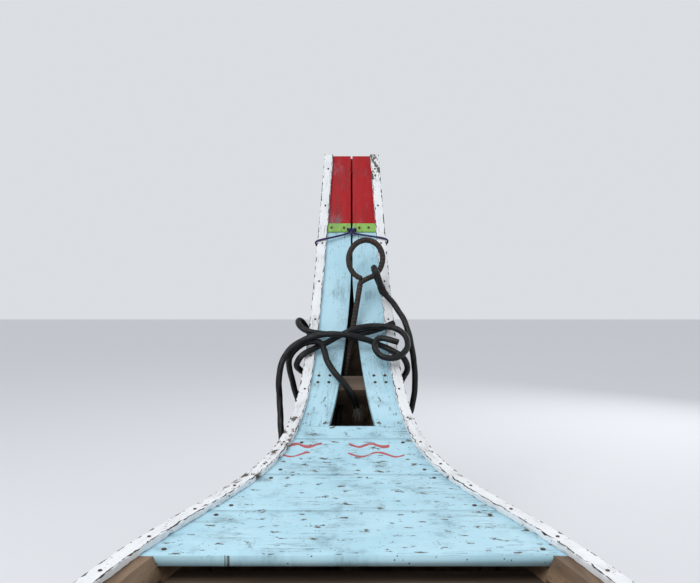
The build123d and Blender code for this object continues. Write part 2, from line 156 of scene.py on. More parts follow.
def timber(name, dark, pale, grain_way, weather=0.5, rough=0.75, tarred=None):
    """Sawn wood: long grain along one way, growth bands, dark pores and grey weathering.
    Where a second colour is given, the faces that look outwards or down carry it as tar."""
    material, tree, shader = shade(name)
    source = put(tree, "TexCoord").outputs["Object"]
    long_ways = {"x": (1.6, 26, 26), "y": (26, 1.6, 26), "z": (26, 26, 1.6)}[grain_way]
    along = stretched(tree, source, *long_ways)
    bands = noise(tree, along, 1.0, 5.0, 0.6)
    pores = noise(tree, stretched(tree, source, *[8 * q for q in long_ways]), 1.0, 3.0, 0.7)
    colour = blendin(tree, step(tree, bands, 0.32, 0.7), dark, pale)
    colour = blendin(tree, sums(tree, "MULTIPLY", step(tree, pores, 0.56, 0.7), 0.55), colour,
                     [0.35 * c for c in dark])
    patches = noise(tree, source, 3.2, 6.0, 0.6)
    grey = [0.5 * (sum(pale) / 3 + c) for c in pale]
    colour = blendin(tree, sums(tree, "MULTIPLY", step(tree, patches, 0.45, 0.68), weather), colour, grey)
    if tarred:
        split = put(tree, "SeparateXYZ", None, Vector=put(tree, "NewGeometry").outputs["Normal"])
        spot = put(tree, "SeparateXYZ", None, Vector=source)
        outward = sums(tree, "MULTIPLY", split.outputs[0], sums(tree, "SIGN", spot.outputs[0]))
        facing = sums(tree, "MAXIMUM", outward, sums(tree, "MULTIPLY", split.outputs[2], -1.0))
        rubbed = step(tree, noise(tree, stretched(tree, source, 9, 2.2, 9), 1.0, 8.0, 0.65), 0.5, 0.72)
        worn = blendin(tree, rubbed, tarred, [2.6 * c + 0.01 for c in tarred])
        colour = blendin(tree, step(tree, facing, -0.02, 0.1), colour, worn)
    tree.links.new(colour, shader.inputs["Base Color"])
    uneven = put(tree, "MapRange", None, Value=bands, To_Min=rough - 0.12, To_Max=rough + 0.12).outputs[0]
    tree.links.new(uneven, shader.inputs["Roughness"])
    bump(tree, shader, sums(tree, "ADD", bands, sums(tree, "MULTIPLY", pores, 0.5)), 0.5, 0.0018)
    return material


def clothe(node, material):
    """Give a CAD node its finish."""
    slots = nodes[node].material_slots
    if not slots:
        nodes[node].data.materials.append(material)
    for slot in slots:
        slot.material = material


tarred_plank = timber("tarred_plank", (0.075, 0.046, 0.028), (0.20, 0.135, 0.085), "y", 0.5, 0.72,
                      (0.016, 0.0135, 0.012))
for node in HULL_NODES:
    clothe(node, tarred_plank)

# ---- Inside timbers: floor timbers, ribs, inwales, ledgers, beams, risers, thwarts and floorboards ----
# Bare hardwood, oiled and rubbed by feet; the long ones run fore and aft, the others across.
along_timber = timber("oiled_timber_along", (0.085, 0.05, 0.028), (0.26, 0.165, 0.095), "y", 0.35, 0.66)
across_timber = timber("oiled_timber_across", (0.05, 0.031, 0.021), (0.145, 0.095, 0.062), "x", 0.3, 0.66)
boards_timber = timber("worn_floorboards", (0.13, 0.085, 0.052), (0.36, 0.26, 0.17), "y", 0.6, 0.7)
for node in nodes:
    if "inwale" in node or "ledgers" in node:
        clothe(node, along_timber)
    elif "floorboards" in node:
        clothe(node, boards_timber)
    elif any(word in node for word in ("timbers", "ribs", "beam", "thwart", "tip_block")):
        clothe(node, across_timber)

# ---- Painted face of the prow: two planks with a slot that widens into an opening ----
# Planks nailed on ledgers between the sides. Pale blue oil paint, red at the tip, cracked and chipped.
HALF_LENGTH, MIDSHIP_DEPTH, HALF_BEAM, TIP_HALF = 3.050, 0.407, 0.470, 0.096
TIP_DEPTH, STEM_UNDER, FLARE, SIDE = 0.100, 0.0253, 0.42, 0.020
RAKE, BEND_MIDDLE, BEND_LENGTH = math.radians(72.0), 0.905, 0.210
TAPER, SWELL_MIDDLE, SWELL_LENGTH = 0.34, 0.48, 0.055
GAP, FACE, FOOT, SLOT_END, SLOT_HALF, FOOT_HALF = 0.0003, 0.018, 1.134, 0.490, 0.003, 0.066

girth = np.arange(0, 3.9, 0.005)
rake = RAKE / (1 + np.exp((girth - BEND_MIDDLE) / BEND_LENGTH))
middle = RAKE / (1 + np.exp((girth[:-1] + 0.0025 - BEND_MIDDLE) / BEND_LENGTH))
run = np.concatenate([[0], np.cumsum(0.005 * np.cos(middle))])
rise = np.concatenate([[0], np.cumsum(0.005 * np.sin(middle))])
TIP_Y = HALF_LENGTH - (TIP_DEPTH + STEM_UNDER) * math.sin(rake[0])
last = int(np.argmax(run >= TIP_Y))
HALF_GIRTH = girth[last] - (run[last] - TIP_Y)
TIP_Z = MIDSHIP_DEPTH + rise[last]


def half_width(s):
    """Half width at the top edge: a sine taper plus a logistic swell, from the tip to amidships."""
    part = s / HALF_GIRTH
    low, here, high = (1 / (1 + np.exp(-(p - SWELL_MIDDLE) / SWELL_LENGTH)) for p in (0, part, 1))
    swell = TAPER * np.sin(part * math.pi / 2) + (1 - TAPER) * (here - low) / (high - low)
    return TIP_HALF + (HALF_BEAM - TIP_HALF) * swell


def inner_half(s, n):
    """Half width between the side planks at the depth n: the flare and a plank's thickness taken off."""
    return half_width(s) - FLARE * n - SIDE * math.hypot(1, FLARE) - GAP


def opening_half(s):
    """Half width of the slot: narrow, then opening with the power 1.3 of the distance."""
    return SLOT_HALF + (FOOT_HALF - SLOT_HALF) * np.clip((s - SLOT_END) / (FOOT - SLOT_END), 0, 1) ** 1.3


def lay(s, x, n):
    """Points at the girth s from the tip, x to starboard and n into the hull, on the bent top edge."""
    slope = np.interp(s, girth, rake)
    y = TIP_Y - np.interp(s, girth, run) + n * np.sin(slope)
    z = TIP_Z - np.interp(s, girth, rise) - n * np.cos(slope)
    return np.stack(np.broadcast_arrays(x, y, z), axis=-1)


def piece(name, points, faces, body, material, uv=None, smooth=True):
    """A mesh object in the row frame that rides on a body. uv has one row for each face corner."""
    mesh = bpy.data.meshes.new(name)
    mesh.from_pydata(points.reshape(-1, 3).tolist(), [], [tuple(f) for f in faces])
    if uv is not None:
        layer = mesh.uv_layers.new(name="UVMap")
        layer.data.foreach_set("uv", np.asarray(uv, dtype=np.float32).ravel())
    if smooth:
        mesh.polygons.foreach_set("use_smooth", np.ones(len(mesh.polygons), dtype=bool))
    shell = bmesh.new()
    shell.from_mesh(mesh)
    bmesh.ops.recalc_face_normals(shell, faces=shell.faces)
    shell.to_mesh(mesh)
    shell.free()
    mesh.materials.append(material)
    thing = bpy.data.objects.new(name, mesh)
    scene.collection.objects.link(thing)
    if body:
        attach(thing, body)
    return thing


def ring_faces(rows, around):
    """Quads between rows of a closed outline, as an array of corner numbers."""
    i, j = np.meshgrid(np.arange(rows - 1), np.arange(around), indexing="ij")
    k = (j + 1) % around
    quads = np.stack([i * around + j, i * around + k, (i + 1) * around + k, (i + 1) * around + j], -1)
    return quads.reshape(-1, 4)


def ripple(t, seed, low, high, count=9):
    """Smooth unevenness from 0 to 1 along t: a sum of sines with seeded lengths and phases."""
    draw = np.random.default_rng(seed)
    rate, phase = draw.uniform(low, high, (count, 1)), draw.uniform(0, 2 * math.pi, (count, 1))
    wave = np.sin(np.atleast_1d(t)[None, :] * rate + phase).sum(0) / count
    return np.clip(0.5 + 1.3 * wave, 0, 1)


def plank(name, corners, places, seed, body="hull", material=None, worn=0.0035,
          mirror=False, across=False):
    """A plank carried along the girth: a four-cornered outline of (x, n) at each place, with corners
    rounded by quadratic arcs whose size wanders along the plank, as wear does. UV is girth and outline."""
    outline = np.stack([np.stack(np.broadcast_arrays(x, n + 0 * places), -1) for x, n in corners(places)], 1)
    before, after = np.roll(outline, 1, 1) - outline, np.roll(outline, -1, 1) - outline
    size = 0.0012 + worn * np.stack([ripple(places, seed + c, 40, 260) ** 3 for c in range(4)], 1)[..., None]
    start = outline + size * before / np.linalg.norm(before, axis=-1, keepdims=True)
    end = outline + size * after / np.linalg.norm(after, axis=-1, keepdims=True)
    t = np.linspace(0, 1, 5)[None, None, :, None]
    arc = (1 - t) ** 2 * start[:, :, None] + 2 * t * (1 - t) * outline[:, :, None] + t ** 2 * end[:, :, None]
    arc = arc.reshape(len(places), -1, 2)
    points = lay(places[:, None], arc[..., 0], arc[..., 1])
    if mirror:
        points = points * np.array([1, -1, 1])
    rows, around = arc.shape[:2]
    faces = ring_faces(rows, around)
    cap = [list(range(around)), list(range((rows - 1) * around, rows * around))]
    edge = np.linalg.norm(np.diff(np.concatenate([arc, arc[:, :1]], 1), axis=1), axis=-1)
    v = np.concatenate([np.zeros((rows, 1)), np.cumsum(edge, 1)], 1)
    i, j = faces[:, 0] // around, faces[:, 0] % around
    uv = np.stack([np.stack([places[i], v[i, j]], -1), np.stack([places[i], v[i, j + 1]], -1),
                   np.stack([places[i + 1], v[i + 1, j + 1]], -1),
                   np.stack([places[i + 1], v[i + 1, j]], -1)], 1)
    ends = [np.stack([arc[r, :, 0], arc[r, :, 1]], -1) + [places[r], 0] for r in (0, rows - 1)]
    uv = np.concatenate([uv.reshape(-1, 2), *ends])
    if across:
        flat = np.concatenate([arc.reshape(-1, 2)[faces.ravel(), 0], arc[0, :, 0], arc[-1, :, 0]])
        deep = np.concatenate([np.repeat(places, around)[faces.ravel()], 0 * ends[0][:, 0] + places[0],
                               0 * ends[1][:, 0] + places[-1]])
        uv = np.stack([flat, deep], -1)
    return piece(name, points, [*faces.tolist(), *cap], body, material, uv)


def paint(name, colour, second, chips, crack=1.0, tip=None, tip_at=0.281, dirt=0.5, marks=None,
          wear=None):
    """Old brushed oil paint on a plank. Along the plank run fine cracks in the grain, flakes that show
    grey wood, dark specks and thin washes of dirt; a second colour can start at the tip."""
    material, tree, shader = shade(name)
    uv = put(tree, "UVMap", {"uv_map": "UVMap"}).outputs[0]
    spot = put(tree, "TexCoord").outputs["Object"]
    split = put(tree, "SeparateXYZ", None, Vector=uv)
    clouds = noise(tree, spot, 7.0, 5.0, 0.6)
    base = blendin(tree, step(tree, clouds, 0.3, 0.72), colour, second)
    brushed = noise(tree, stretched(tree, uv, 9, 160), 1.0, 4.0, 0.6)
    base = blendin(tree, sums(tree, "MULTIPLY", step(tree, brushed, 0.35, 0.75), 0.28), base,
                   [min(1, 1.12 * c + 0.02) for c in colour])
    if tip:
        wander = sums(tree, "MULTIPLY", sums(tree, "SUBTRACT", noise(tree, spot, 60.0, 3.0), 0.5), 0.006)
        red = step(tree, sums(tree, "ADD", split.outputs[0], wander), tip_at + 0.0006, tip_at - 0.0006)
        faded = step(tree, noise(tree, stretched(tree, uv, 5, 60), 1.0, 6.0, 0.65), 0.35, 0.75)
        dull = blendin(tree, faded, tip, [0.72 * c for c in tip])
        base = blendin(tree, red, base, dull)
    if marks:
        base = marks(tree, split, spot, base)
    grime = noise(tree, stretched(tree, spot, 14, 14, 5), 1.0, 7.0, 0.68)
    base = blendin(tree, sums(tree, "MULTIPLY", step(tree, grime, 0.5, 0.78), dirt), base,
                   [0.42 * c + 0.01 for c in second])
    lines = noise(tree, stretched(tree, uv, 2.4, 95), 1.0, 5.0, 0.6)
    beside = sums(tree, "ABSOLUTE", sums(tree, "SUBTRACT", lines, 0.5))
    line = sums(tree, "SUBTRACT", 1.0, step(tree, beside, 0.002, 0.009))
    where = step(tree, noise(tree, spot, 9.0, 3.0), 0.5, 0.62)
    line = sums(tree, "MULTIPLY", sums(tree, "MULTIPLY", line, where), crack)
    ragged = noise(tree, stretched(tree, uv, 24, 46), 1.0, 8.0, 0.72)
    if wear:
        ragged = sums(tree, "ADD", ragged, wear(tree, split, spot))
    flake = step(tree, ragged, chips - 0.025, chips)
    dots = put(tree, "TexVoronoi", None, Vector=spot, Scale=120.0, Randomness=1.0)
    sparse = step(tree, noise(tree, spot, 31.0, 2.0), 0.56, 0.62)
    dot = sums(tree, "SUBTRACT", 1.0, step(tree, dots.outputs["Distance"], 0.12, 0.22))
    dot = sums(tree, "MULTIPLY", dot, sparse)
    bare = blendin(tree, clouds, (0.035, 0.028, 0.024), (0.20, 0.17, 0.14))
    lost = sums(tree, "MAXIMUM", sums(tree, "MAXIMUM", line, flake), dot, clamp=True)
    tree.links.new(blendin(tree, lost, base, bare), shader.inputs["Base Color"])
    tree.links.new(sums(tree, "ADD", sums(tree, "MULTIPLY", lost, 0.25), 0.52), shader.inputs["Roughness"])
    shader.inputs["Specular IOR Level"].default_value = 0.2
    height = sums(tree, "SUBTRACT", sums(tree, "MULTIPLY", brushed, 0.25), lost)
    bump(tree, shader, height, 0.55, 0.0009)
    return material


BLUE, BLUE_WASH = (0.470, 0.705, 0.800), (0.375, 0.615, 0.720)
RED, GREEN, WHITE = (0.40, 0.0085, 0.014), (0.235, 0.46, 0.095), (0.80, 0.815, 0.83)


def foot_wear(tree, split, spot):
    """More flakes towards the foot of the face, where the ropes rub, and none on the red."""
    return sums(tree, "MULTIPLY", step(tree, split.outputs[0], 0.55, 1.15), 0.085)


face_paint = paint("blue_face_paint", BLUE, BLUE_WASH, 0.69, tip=RED, dirt=0.6, wear=foot_wear)
BAND_START, BAND_WIDTH = 0.277, 0.034
face_places = np.linspace(0, FOOT - GAP, 150)
for end, mirror in (("bow", False), ("stern", True)):
    for name, side, seed in (("starboard", 1, 11), ("port", -1, 23)):
        def corners(s, side=side, mirror=mirror):
            slot_edge = opening_half(s) if not mirror else SLOT_HALF / 2 + 0 * s
            return [(side * slot_edge, 0), (side * inner_half(s, 0), 0), (side * inner_half(s, FACE), FACE),
                    (side * slot_edge, FACE)]
        node = f"{end}_face_plank_{name}"
        face = plank(f"{end}_face_{name}", corners, face_places, seed, material=face_paint, mirror=mirror)
        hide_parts(node)

# ---- Green band: a thin strip nailed across each face plank under the red ----
# Sawn slats 4 mm thick, painted leaf green, with a dark joint under them and two nails in each.
CAP_OVER, CAP_WIDE, CAP_THICK, BAND_THICK = 0.004, 0.032, 0.013, 0.004
green_paint = paint("green_band_paint", GREEN, (0.30, 0.50, 0.13), 0.66, dirt=0.5, crack=0.6)
band_places = np.linspace(BAND_START, BAND_START + BAND_WIDTH, 8)
for name, side, seed in (("starboard", 1, 31), ("port", -1, 37)):
    def corners(s, side=side):
        inner, outer = opening_half(s) + 0.001, half_width(s) + CAP_OVER - CAP_WIDE - GAP
        return [(side * inner, -GAP), (side * outer, -GAP), (side * outer, -GAP - BAND_THICK),
                (side * inner, -GAP - BAND_THICK)]
    plank(f"green_strip_{name}", corners, band_places, seed,
                        material=green_paint, worn=0.0012)
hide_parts("bow_band_strips")
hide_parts("bow_band_strips")

# ---- Cap rails: white strips along the top edges ----
# A 32 mm strip on each side plank, painted white; the paint has flaked to the dark wood at its edges.
def edge_wear(tree, split, spot, base):
    """Flakes that gather at the two long edges of the strip's top and along its outer side."""
    v = split.outputs[1]
    ragged = noise(tree, stretched(tree, spot, 40, 40, 40), 1.0, 7.0, 0.7)
    creep = sums(tree, "MULTIPLY", sums(tree, "SUBTRACT", ragged, 0.40), 0.026)
    outer_top = step(tree, sums(tree, "SUBTRACT", v, creep), 0.0006, -0.0006)
    inner_top = sums(tree, "ABSOLUTE", sums(tree, "SUBTRACT", v, CAP_WIDE))
    inner_top = sums(tree, "SUBTRACT", inner_top, sums(tree, "MULTIPLY", creep, 0.35))
    inner_top = step(tree, inner_top, 0.0006, -0.0006)
    side_start = 2 * CAP_WIDE + CAP_THICK
    outer_side = step(tree, sums(tree, "ADD", v, creep), side_start - 0.001, side_start)
    mask = sums(tree, "MAXIMUM", sums(tree, "MAXIMUM", outer_top, inner_top), outer_side, clamp=True)
    return blendin(tree, mask, base, (0.022, 0.019, 0.017))


def rail_wear(tree, split, spot):
    """Flakes gather on the starboard rail at the tip and on the rails where the deck begins."""
    axes = put(tree, "SeparateXYZ", None, Vector=spot).outputs
    tip_part = sums(tree, "MULTIPLY", step(tree, axes[2], 1.19, 1.30), step(tree, axes[0], -0.02, 0.02))
    s = split.outputs[0]
    deck_part = sums(tree, "MULTIPLY", step(tree, s, 0.98, 1.12), step(tree, s, 1.9, 1.3))
    port = sums(tree, "ADD", 0.35, sums(tree, "MULTIPLY", step(tree, axes[0], 0.02, -0.02), 0.65))
    return sums(tree, "ADD", sums(tree, "MULTIPLY", tip_part, 0.15),
                sums(tree, "MULTIPLY", sums(tree, "MULTIPLY", deck_part, port), 0.10))


white_paint = paint("white_cap_paint", WHITE, (0.70, 0.715, 0.73), 0.66, crack=0.8, dirt=0.3, marks=edge_wear,
                    wear=rail_wear)
cap_places = np.linspace(0, HALF_GIRTH - GAP / 2, 420)
for end, mirror in (("bow", False), ("stern", True)):
    for name, side, seed in (("starboard", 1, 41), ("port", -1, 53)):
        def corners(s, side=side):
            outer = half_width(s) + CAP_OVER
            return [(side * outer, -GAP - CAP_THICK), (side * (outer - CAP_WIDE), -GAP - CAP_THICK),
                    (side * (outer - CAP_WIDE), -GAP), (side * outer, -GAP)]
        rail = plank(f"{end}_cap_{name}", corners, cap_places, seed, material=white_paint,
                     worn=0.006, mirror=mirror)
        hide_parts(f"{end}_cap_rail_{name}")

# ---- Foredeck and aft deck: a cross plank and three wide planks laid athwart ----
# The grain runs across the boat. A painter's plain wavy strokes in red cross the first plank.
CROSS, DECK_PLANK, DECK_COUNT = 0.071, 0.236, 3
DECK_START = FOOT + CROSS + 2 * GAP


def strokes(tree, split, spot, base):
    """Two rows of short brush strokes: red where a wavy line and a broken row of dabs meet."""
    x, s = split.outputs[0], split.outputs[1]
    mask = 0.0
    for row, swing, pace in ((DECK_START + 0.045, 0.010, 95.0), (DECK_START + 0.105, 0.014, 70.0)):
        wave = sums(tree, "MULTIPLY", sums(tree, "SINE", sums(tree, "MULTIPLY", x, pace)), swing)
        off = sums(tree, "ABSOLUTE", sums(tree, "SUBTRACT", sums(tree, "SUBTRACT", s, row), wave))
        thick = sums(tree, "ADD", sums(tree, "MULTIPLY", noise(tree, spot, 26.0, 3.0), 0.020), -0.0035)
        body = step(tree, sums(tree, "SUBTRACT", off, thick), 0.0008, -0.0008)
        dabs = step(tree, sums(tree, "SINE", sums(tree, "MULTIPLY", x, 0.37 * pace)), -0.35, -0.25)
        mask = sums(tree, "MAXIMUM", sums(tree, "MULTIPLY", body, dabs), mask)
    return blendin(tree, sums(tree, "MULTIPLY", mask, 0.88), base, (0.46, 0.032, 0.026))


deck_paint = paint("blue_deck_paint", BLUE, BLUE_WASH, 0.615, dirt=0.9, crack=1.0)
marked_paint = paint("blue_deck_paint_with_strokes", BLUE, BLUE_WASH, 0.605, dirt=0.9, marks=strokes)
spans = [("cross_plank", FOOT + GAP, CROSS)]
spans += [(f"deck_plank_{i + 1}", DECK_START + i * (DECK_PLANK + GAP), DECK_PLANK) for i in range(DECK_COUNT)]
for end, mirror in (("bow", False), ("stern", True)):
    for index, (part, start, width) in enumerate(spans):
        def corners(s):
            return [(inner_half(s, 0), 0), (inner_half(s, FACE), FACE), (-inner_half(s, FACE), FACE),
                    (-inner_half(s, 0), 0)]
        finish = marked_paint if part == "deck_plank_1" and not mirror else deck_paint
        board = plank(f"{end}_{part}_board", corners, np.linspace(start, start + width, 14), 61 + index,
                      material=finish, mirror=mirror, worn=0.002, across=True)
        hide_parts(f"{end}_{part}")

# ---- Nails: flat iron heads driven into the caps, the band and the deck ----
# Hand-cut iron, dull and brown at the rim.
nail_iron, tree, shader = shade("nail_iron")
spot = put(tree, "TexCoord").outputs["Object"]
rust = noise(tree, spot, 240.0, 4.0, 0.6)
tree.links.new(blendin(tree, step(tree, rust, 0.4, 0.62), (0.045, 0.04, 0.038), (0.13, 0.06, 0.03)),
               shader.inputs["Base Color"])
shader.inputs["Metallic"].default_value = 0.55
shader.inputs["Roughness"].default_value = 0.62
bump(tree, shader, rust, 0.4, 0.0006)
for node in ("cap_nails", "band_nails", "deck_nails"):
    clothe(node, nail_iron)

# ---- Mooring stake: a ribbed bar whose upper end is bent into a ring ----
# Reinforcing bar, 20 mm over its ribs, rusted dark brown, with painted shade in the hollows between the ribs.
# The ring's free end stops beside the shank.
BAR, RING_OUTER, RING_HEIGHT, RIB_PITCH = 0.0100, 0.134, 0.152, 0.0125
PASS, LEAN = np.array([-0.002, 2.622, 0.706]), np.array([0.165, 0.20, 1.0])
BELOW, ABOVE, RING_SIDE = 0.2942, 0.272, 0.005
LEAN = LEAN / np.linalg.norm(LEAN)
FACING = np.array([0, 1.0, 0]) - LEAN * LEAN[1]
FACING = FACING / np.linalg.norm(FACING)
RIGHT = np.cross(FACING, LEAN)
RING_CENTRE = PASS + LEAN * ABOVE + RIGHT * RING_SIDE
RING_RADIUS, RING_TALL = RING_OUTER / 2 - BAR, RING_HEIGHT / 2 - BAR


def smooth_line(points, spacing, passes=1):
    """The same line with evenly spaced points, its corners rounded by a running mean."""
    for _ in range(passes):
        inside = (points[:-2] + points[1:-1] + points[2:]) / 3
        points = np.concatenate([points[:1], inside, points[-1:]])
    far = np.concatenate([[0], np.cumsum(np.linalg.norm(np.diff(points, axis=0), axis=1))])
    even = np.linspace(0, far[-1], max(3, int(far[-1] / spacing)))
    return np.stack([np.interp(even, far, points[:, k]) for k in range(3)], -1), even


def frames_along(line):
    """A tangent and two side ways at each point, turned as little as possible from point to point."""
    tangent = np.gradient(line, axis=0)
    tangent /= np.linalg.norm(tangent, axis=1, keepdims=True)
    side = np.empty_like(line)
    first = np.cross(tangent[0], [0.3, 0.9, 0.2])
    side[0] = first / np.linalg.norm(first)
    for k in range(1, len(line)):
        kept = side[k - 1] - tangent[k] * np.dot(side[k - 1], tangent[k])
        side[k] = kept / np.linalg.norm(kept)
    return tangent, side, np.cross(tangent, side)


def tube(line, far, radius, around):
    """Points of a tube: radius(far, angle) carried round the line. UV is the distance and the way round."""
    _, side, up = frames_along(line)
    angle = np.linspace(0, 2 * math.pi, around, endpoint=False)
    size = radius(far[:, None], angle[None, :] + 0 * far[:, None])
    way = angle[None, :, None]
    points = line[:, None] + size[..., None] * (np.cos(way) * side[:, None] + np.sin(way) * up[:, None])
    faces = ring_faces(len(line), around)
    i, j = faces[:, 0] // around, faces[:, 0] % around
    u, v = far, np.arange(around + 1) / around
    uv = np.stack([np.stack([u[i], v[j]], -1), np.stack([u[i], v[j + 1]], -1),
                   np.stack([u[i + 1], v[j + 1]], -1), np.stack([u[i + 1], v[j]], -1)], 1).reshape(-1, 2)
    ends = [list(range(around)), list(range((len(line) - 1) * around, len(line) * around))]
    uv = np.concatenate([uv, np.zeros((2 * around, 2)) + [far[0], 0.5]])
    return points, [*faces.tolist(), *ends], uv


def bar_size(far, angle):
    """Bar radius: a round core, two seams along it and slanting crescent ribs between them."""
    slant = far / RIB_PITCH + 0.22 * np.cos(angle)
    rib = np.clip(np.cos(2 * math.pi * slant), 0, 1) ** 2 * np.clip(np.abs(np.sin(angle)) * 1.4 - 0.15, 0, 1)
    seam = np.clip(np.cos(2 * angle), 0, 1) ** 14
    pitted = 0.00025 * np.sin(310 * far + 3 * angle) * np.sin(170 * far - 2 * angle)
    return 0.0086 + 0.0014 * np.maximum(rib, 0.7 * seam) + pitted


shank_foot, shank_top = PASS - LEAN * (BELOW - 0.001), PASS + LEAN * (ABOVE - RING_TALL - 0.011)
shank = shank_foot + np.linspace(0, 1, 240)[:, None] * (shank_top - shank_foot)
bend = np.radians(np.linspace(-66, 266, 190))[:, None]
closing = np.clip((bend - bend[-1]) / 0.9 + 1, 0, 1) ** 2
ring_line = RING_CENTRE + RING_RADIUS * np.cos(bend) * RIGHT + RING_TALL * np.sin(bend) * LEAN
ring_line = ring_line - (0.007 * FACING + 0.004 * LEAN) * closing
bar_line, bar_far = smooth_line(np.concatenate([shank, ring_line]), 0.0016, 6)
rusty_bar_rib_shaded, tree, shader = shade("rusty_bar_rib_shaded")
spot = put(tree, "TexCoord").outputs["Object"]
coarse, fine = noise(tree, spot, 55.0, 6.0, 0.65), noise(tree, spot, 420.0, 4.0, 0.7)
rust_and_rib_shade = blendin(tree, step(tree, coarse, 0.40, 0.72), (0.022, 0.018, 0.016), (0.070, 0.038, 0.026))
rust_and_rib_shade = blendin(tree, step(tree, fine, 0.55, 0.75), rust_and_rib_shade, (0.13, 0.082, 0.060))
split = put(tree, "SeparateXYZ", None, Vector=put(tree, "UVMap", {"uv_map": "UVMap"}).outputs[0])
# Painted shade: a sine of the distance along the bar darkens the rust by up to half, towards near-black, in
# the hollows between the ribs.
wave = sums(tree, "SINE", sums(tree, "MULTIPLY", split.outputs[0], 2 * math.pi / RIB_PITCH))
painted_rib_shade = sums(tree, "MULTIPLY", step(tree, wave, 0.0, -0.9), 0.5)
rust_and_rib_shade = blendin(tree, painted_rib_shade, rust_and_rib_shade, (0.009, 0.008, 0.0075))
tree.links.new(rust_and_rib_shade, shader.inputs["Base Color"])
shader.inputs["Metallic"].default_value = 0.35
uneven = put(tree, "MapRange", None, Value=coarse, To_Min=0.5, To_Max=0.85).outputs[0]
tree.links.new(uneven, shader.inputs["Roughness"])
bump(tree, shader, sums(tree, "ADD", coarse, fine), 0.6, 0.0009)
stake_mesh, stake_faces, stake_uv = tube(bar_line, bar_far, bar_size, 28)
stake = piece("ribbed_stake", stake_mesh, stake_faces, "stake", rusty_bar_rib_shaded, stake_uv)
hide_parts("mooring_stake")

# ---- Mooring ropes: a long one with a spliced eye, and a short one wound round the prow ----
# Black 20 mm rope of three strands, greasy and smooth with age, with grey scuffs on its ridges.
ROPE = 0.020
MAIN_ROPE = [
    (104, 2657, 858), (127, 2654, 835), (149, 2645, 805), (173, 2627, 766), (186, 2605, 722),
    (194, 2588, 675), (204, 2613, 623), (206, 2600, 547), (190, 2593, 461), (140, 2595, 380),
    (75, 2595, 302), (-20, 2561, 259), (-105, 2501, 254), (-180, 2450, 302), (-212, 2442, 381),
    (-225, 2518, 515), (-229, 2511, 572), (-225, 2525, 626), (-205, 2539, 671), (-168, 2552, 701),
    (-114, 2553, 722), (-57, 2551, 726), (-6, 2550, 722), (39, 2565, 709), (90, 2572, 689),
    (131, 2558, 671), (164, 2539, 654), (180, 2540, 615), (162, 2589, 581), (142, 2607, 507),
    (112, 2618, 432), (62, 2643, 356), (-30, 2641, 338), (-110, 2628, 379), (-160, 2621, 455),
    (-185, 2610, 536), (-199, 2582, 604), (-203, 2559, 638), (-188, 2561, 670), (-157, 2574, 693),
    (-124, 2567, 702), (-96, 2551, 699), (-86, 2524, 673), (-77, 2500, 644), (-57, 2480, 614),
    (-30, 2472, 586), (-9, 2471, 559), (5, 2479, 531), (14, 2491, 503)]
SHORT_ROPE = [
    (145, 2530, 701), (111, 2544, 711), (81, 2552, 713), (67, 2535, 689), (87, 2507, 659),
    (124, 2500, 650), (159, 2514, 662), (181, 2546, 691), (170, 2577, 724), (143, 2592, 742),
    (101, 2598, 748), (56, 2600, 748), (13, 2590, 742), (-22, 2582, 727), (-57, 2576, 709),
    (-86, 2577, 693), (-118, 2566, 679), (-145, 2550, 668), (-169, 2543, 647), (-180, 2563, 619),
    (-142, 2599, 590), (-128, 2645, 599), (-126, 2682, 633), (-132, 2700, 680), (-146, 2703, 724),
    (-164, 2690, 758), (-179, 2662, 767), (-175, 2630, 750), (-157, 2612, 736), (-130, 2607, 728),
    (-97, 2605, 722), (-51, 2604, 721), (-3, 2601, 718), (40, 2607, 725), (82, 2615, 734),
    (112, 2624, 746), (139, 2633, 757)]


def cord_line(name, route, spacing):
    """Evenly spaced points along the smooth NURBS line of a route given in millimetres."""
    curve = bpy.data.curves.new(name + "_route", "CURVE")
    curve.dimensions, curve.resolution_u = "3D", 24
    spline = curve.splines.new("NURBS")
    spline.points.add(len(route) - 1)
    spline.points.foreach_set("co", [c for x, y, z in route for c in (x / 1000, y / 1000, z / 1000, 1.0)])
    spline.order_u, spline.use_endpoint_u = 3, True
    holder = bpy.data.objects.new(name + "_route", curve)
    mesh = bpy.data.meshes.new_from_object(holder)
    line = np.empty(len(mesh.vertices) * 3)
    mesh.vertices.foreach_get("co", line)
    bpy.data.objects.remove(holder)
    return smooth_line(line.reshape(-1, 3), spacing)


def strand_size(radius, strands, depth, lay_length):
    """Rope radius: strands lie round it as lobes that wind once in a lay length."""
    def size(far, angle):
        lobe = np.abs(np.cos(strands / 2 * (angle - 2 * math.pi * far / lay_length)))
        uneven = 1 + 0.018 * np.sin(23 * far + angle) * np.sin(61 * far)
        return radius * (1 - depth * (1 - lobe ** 0.7)) * uneven
    return size


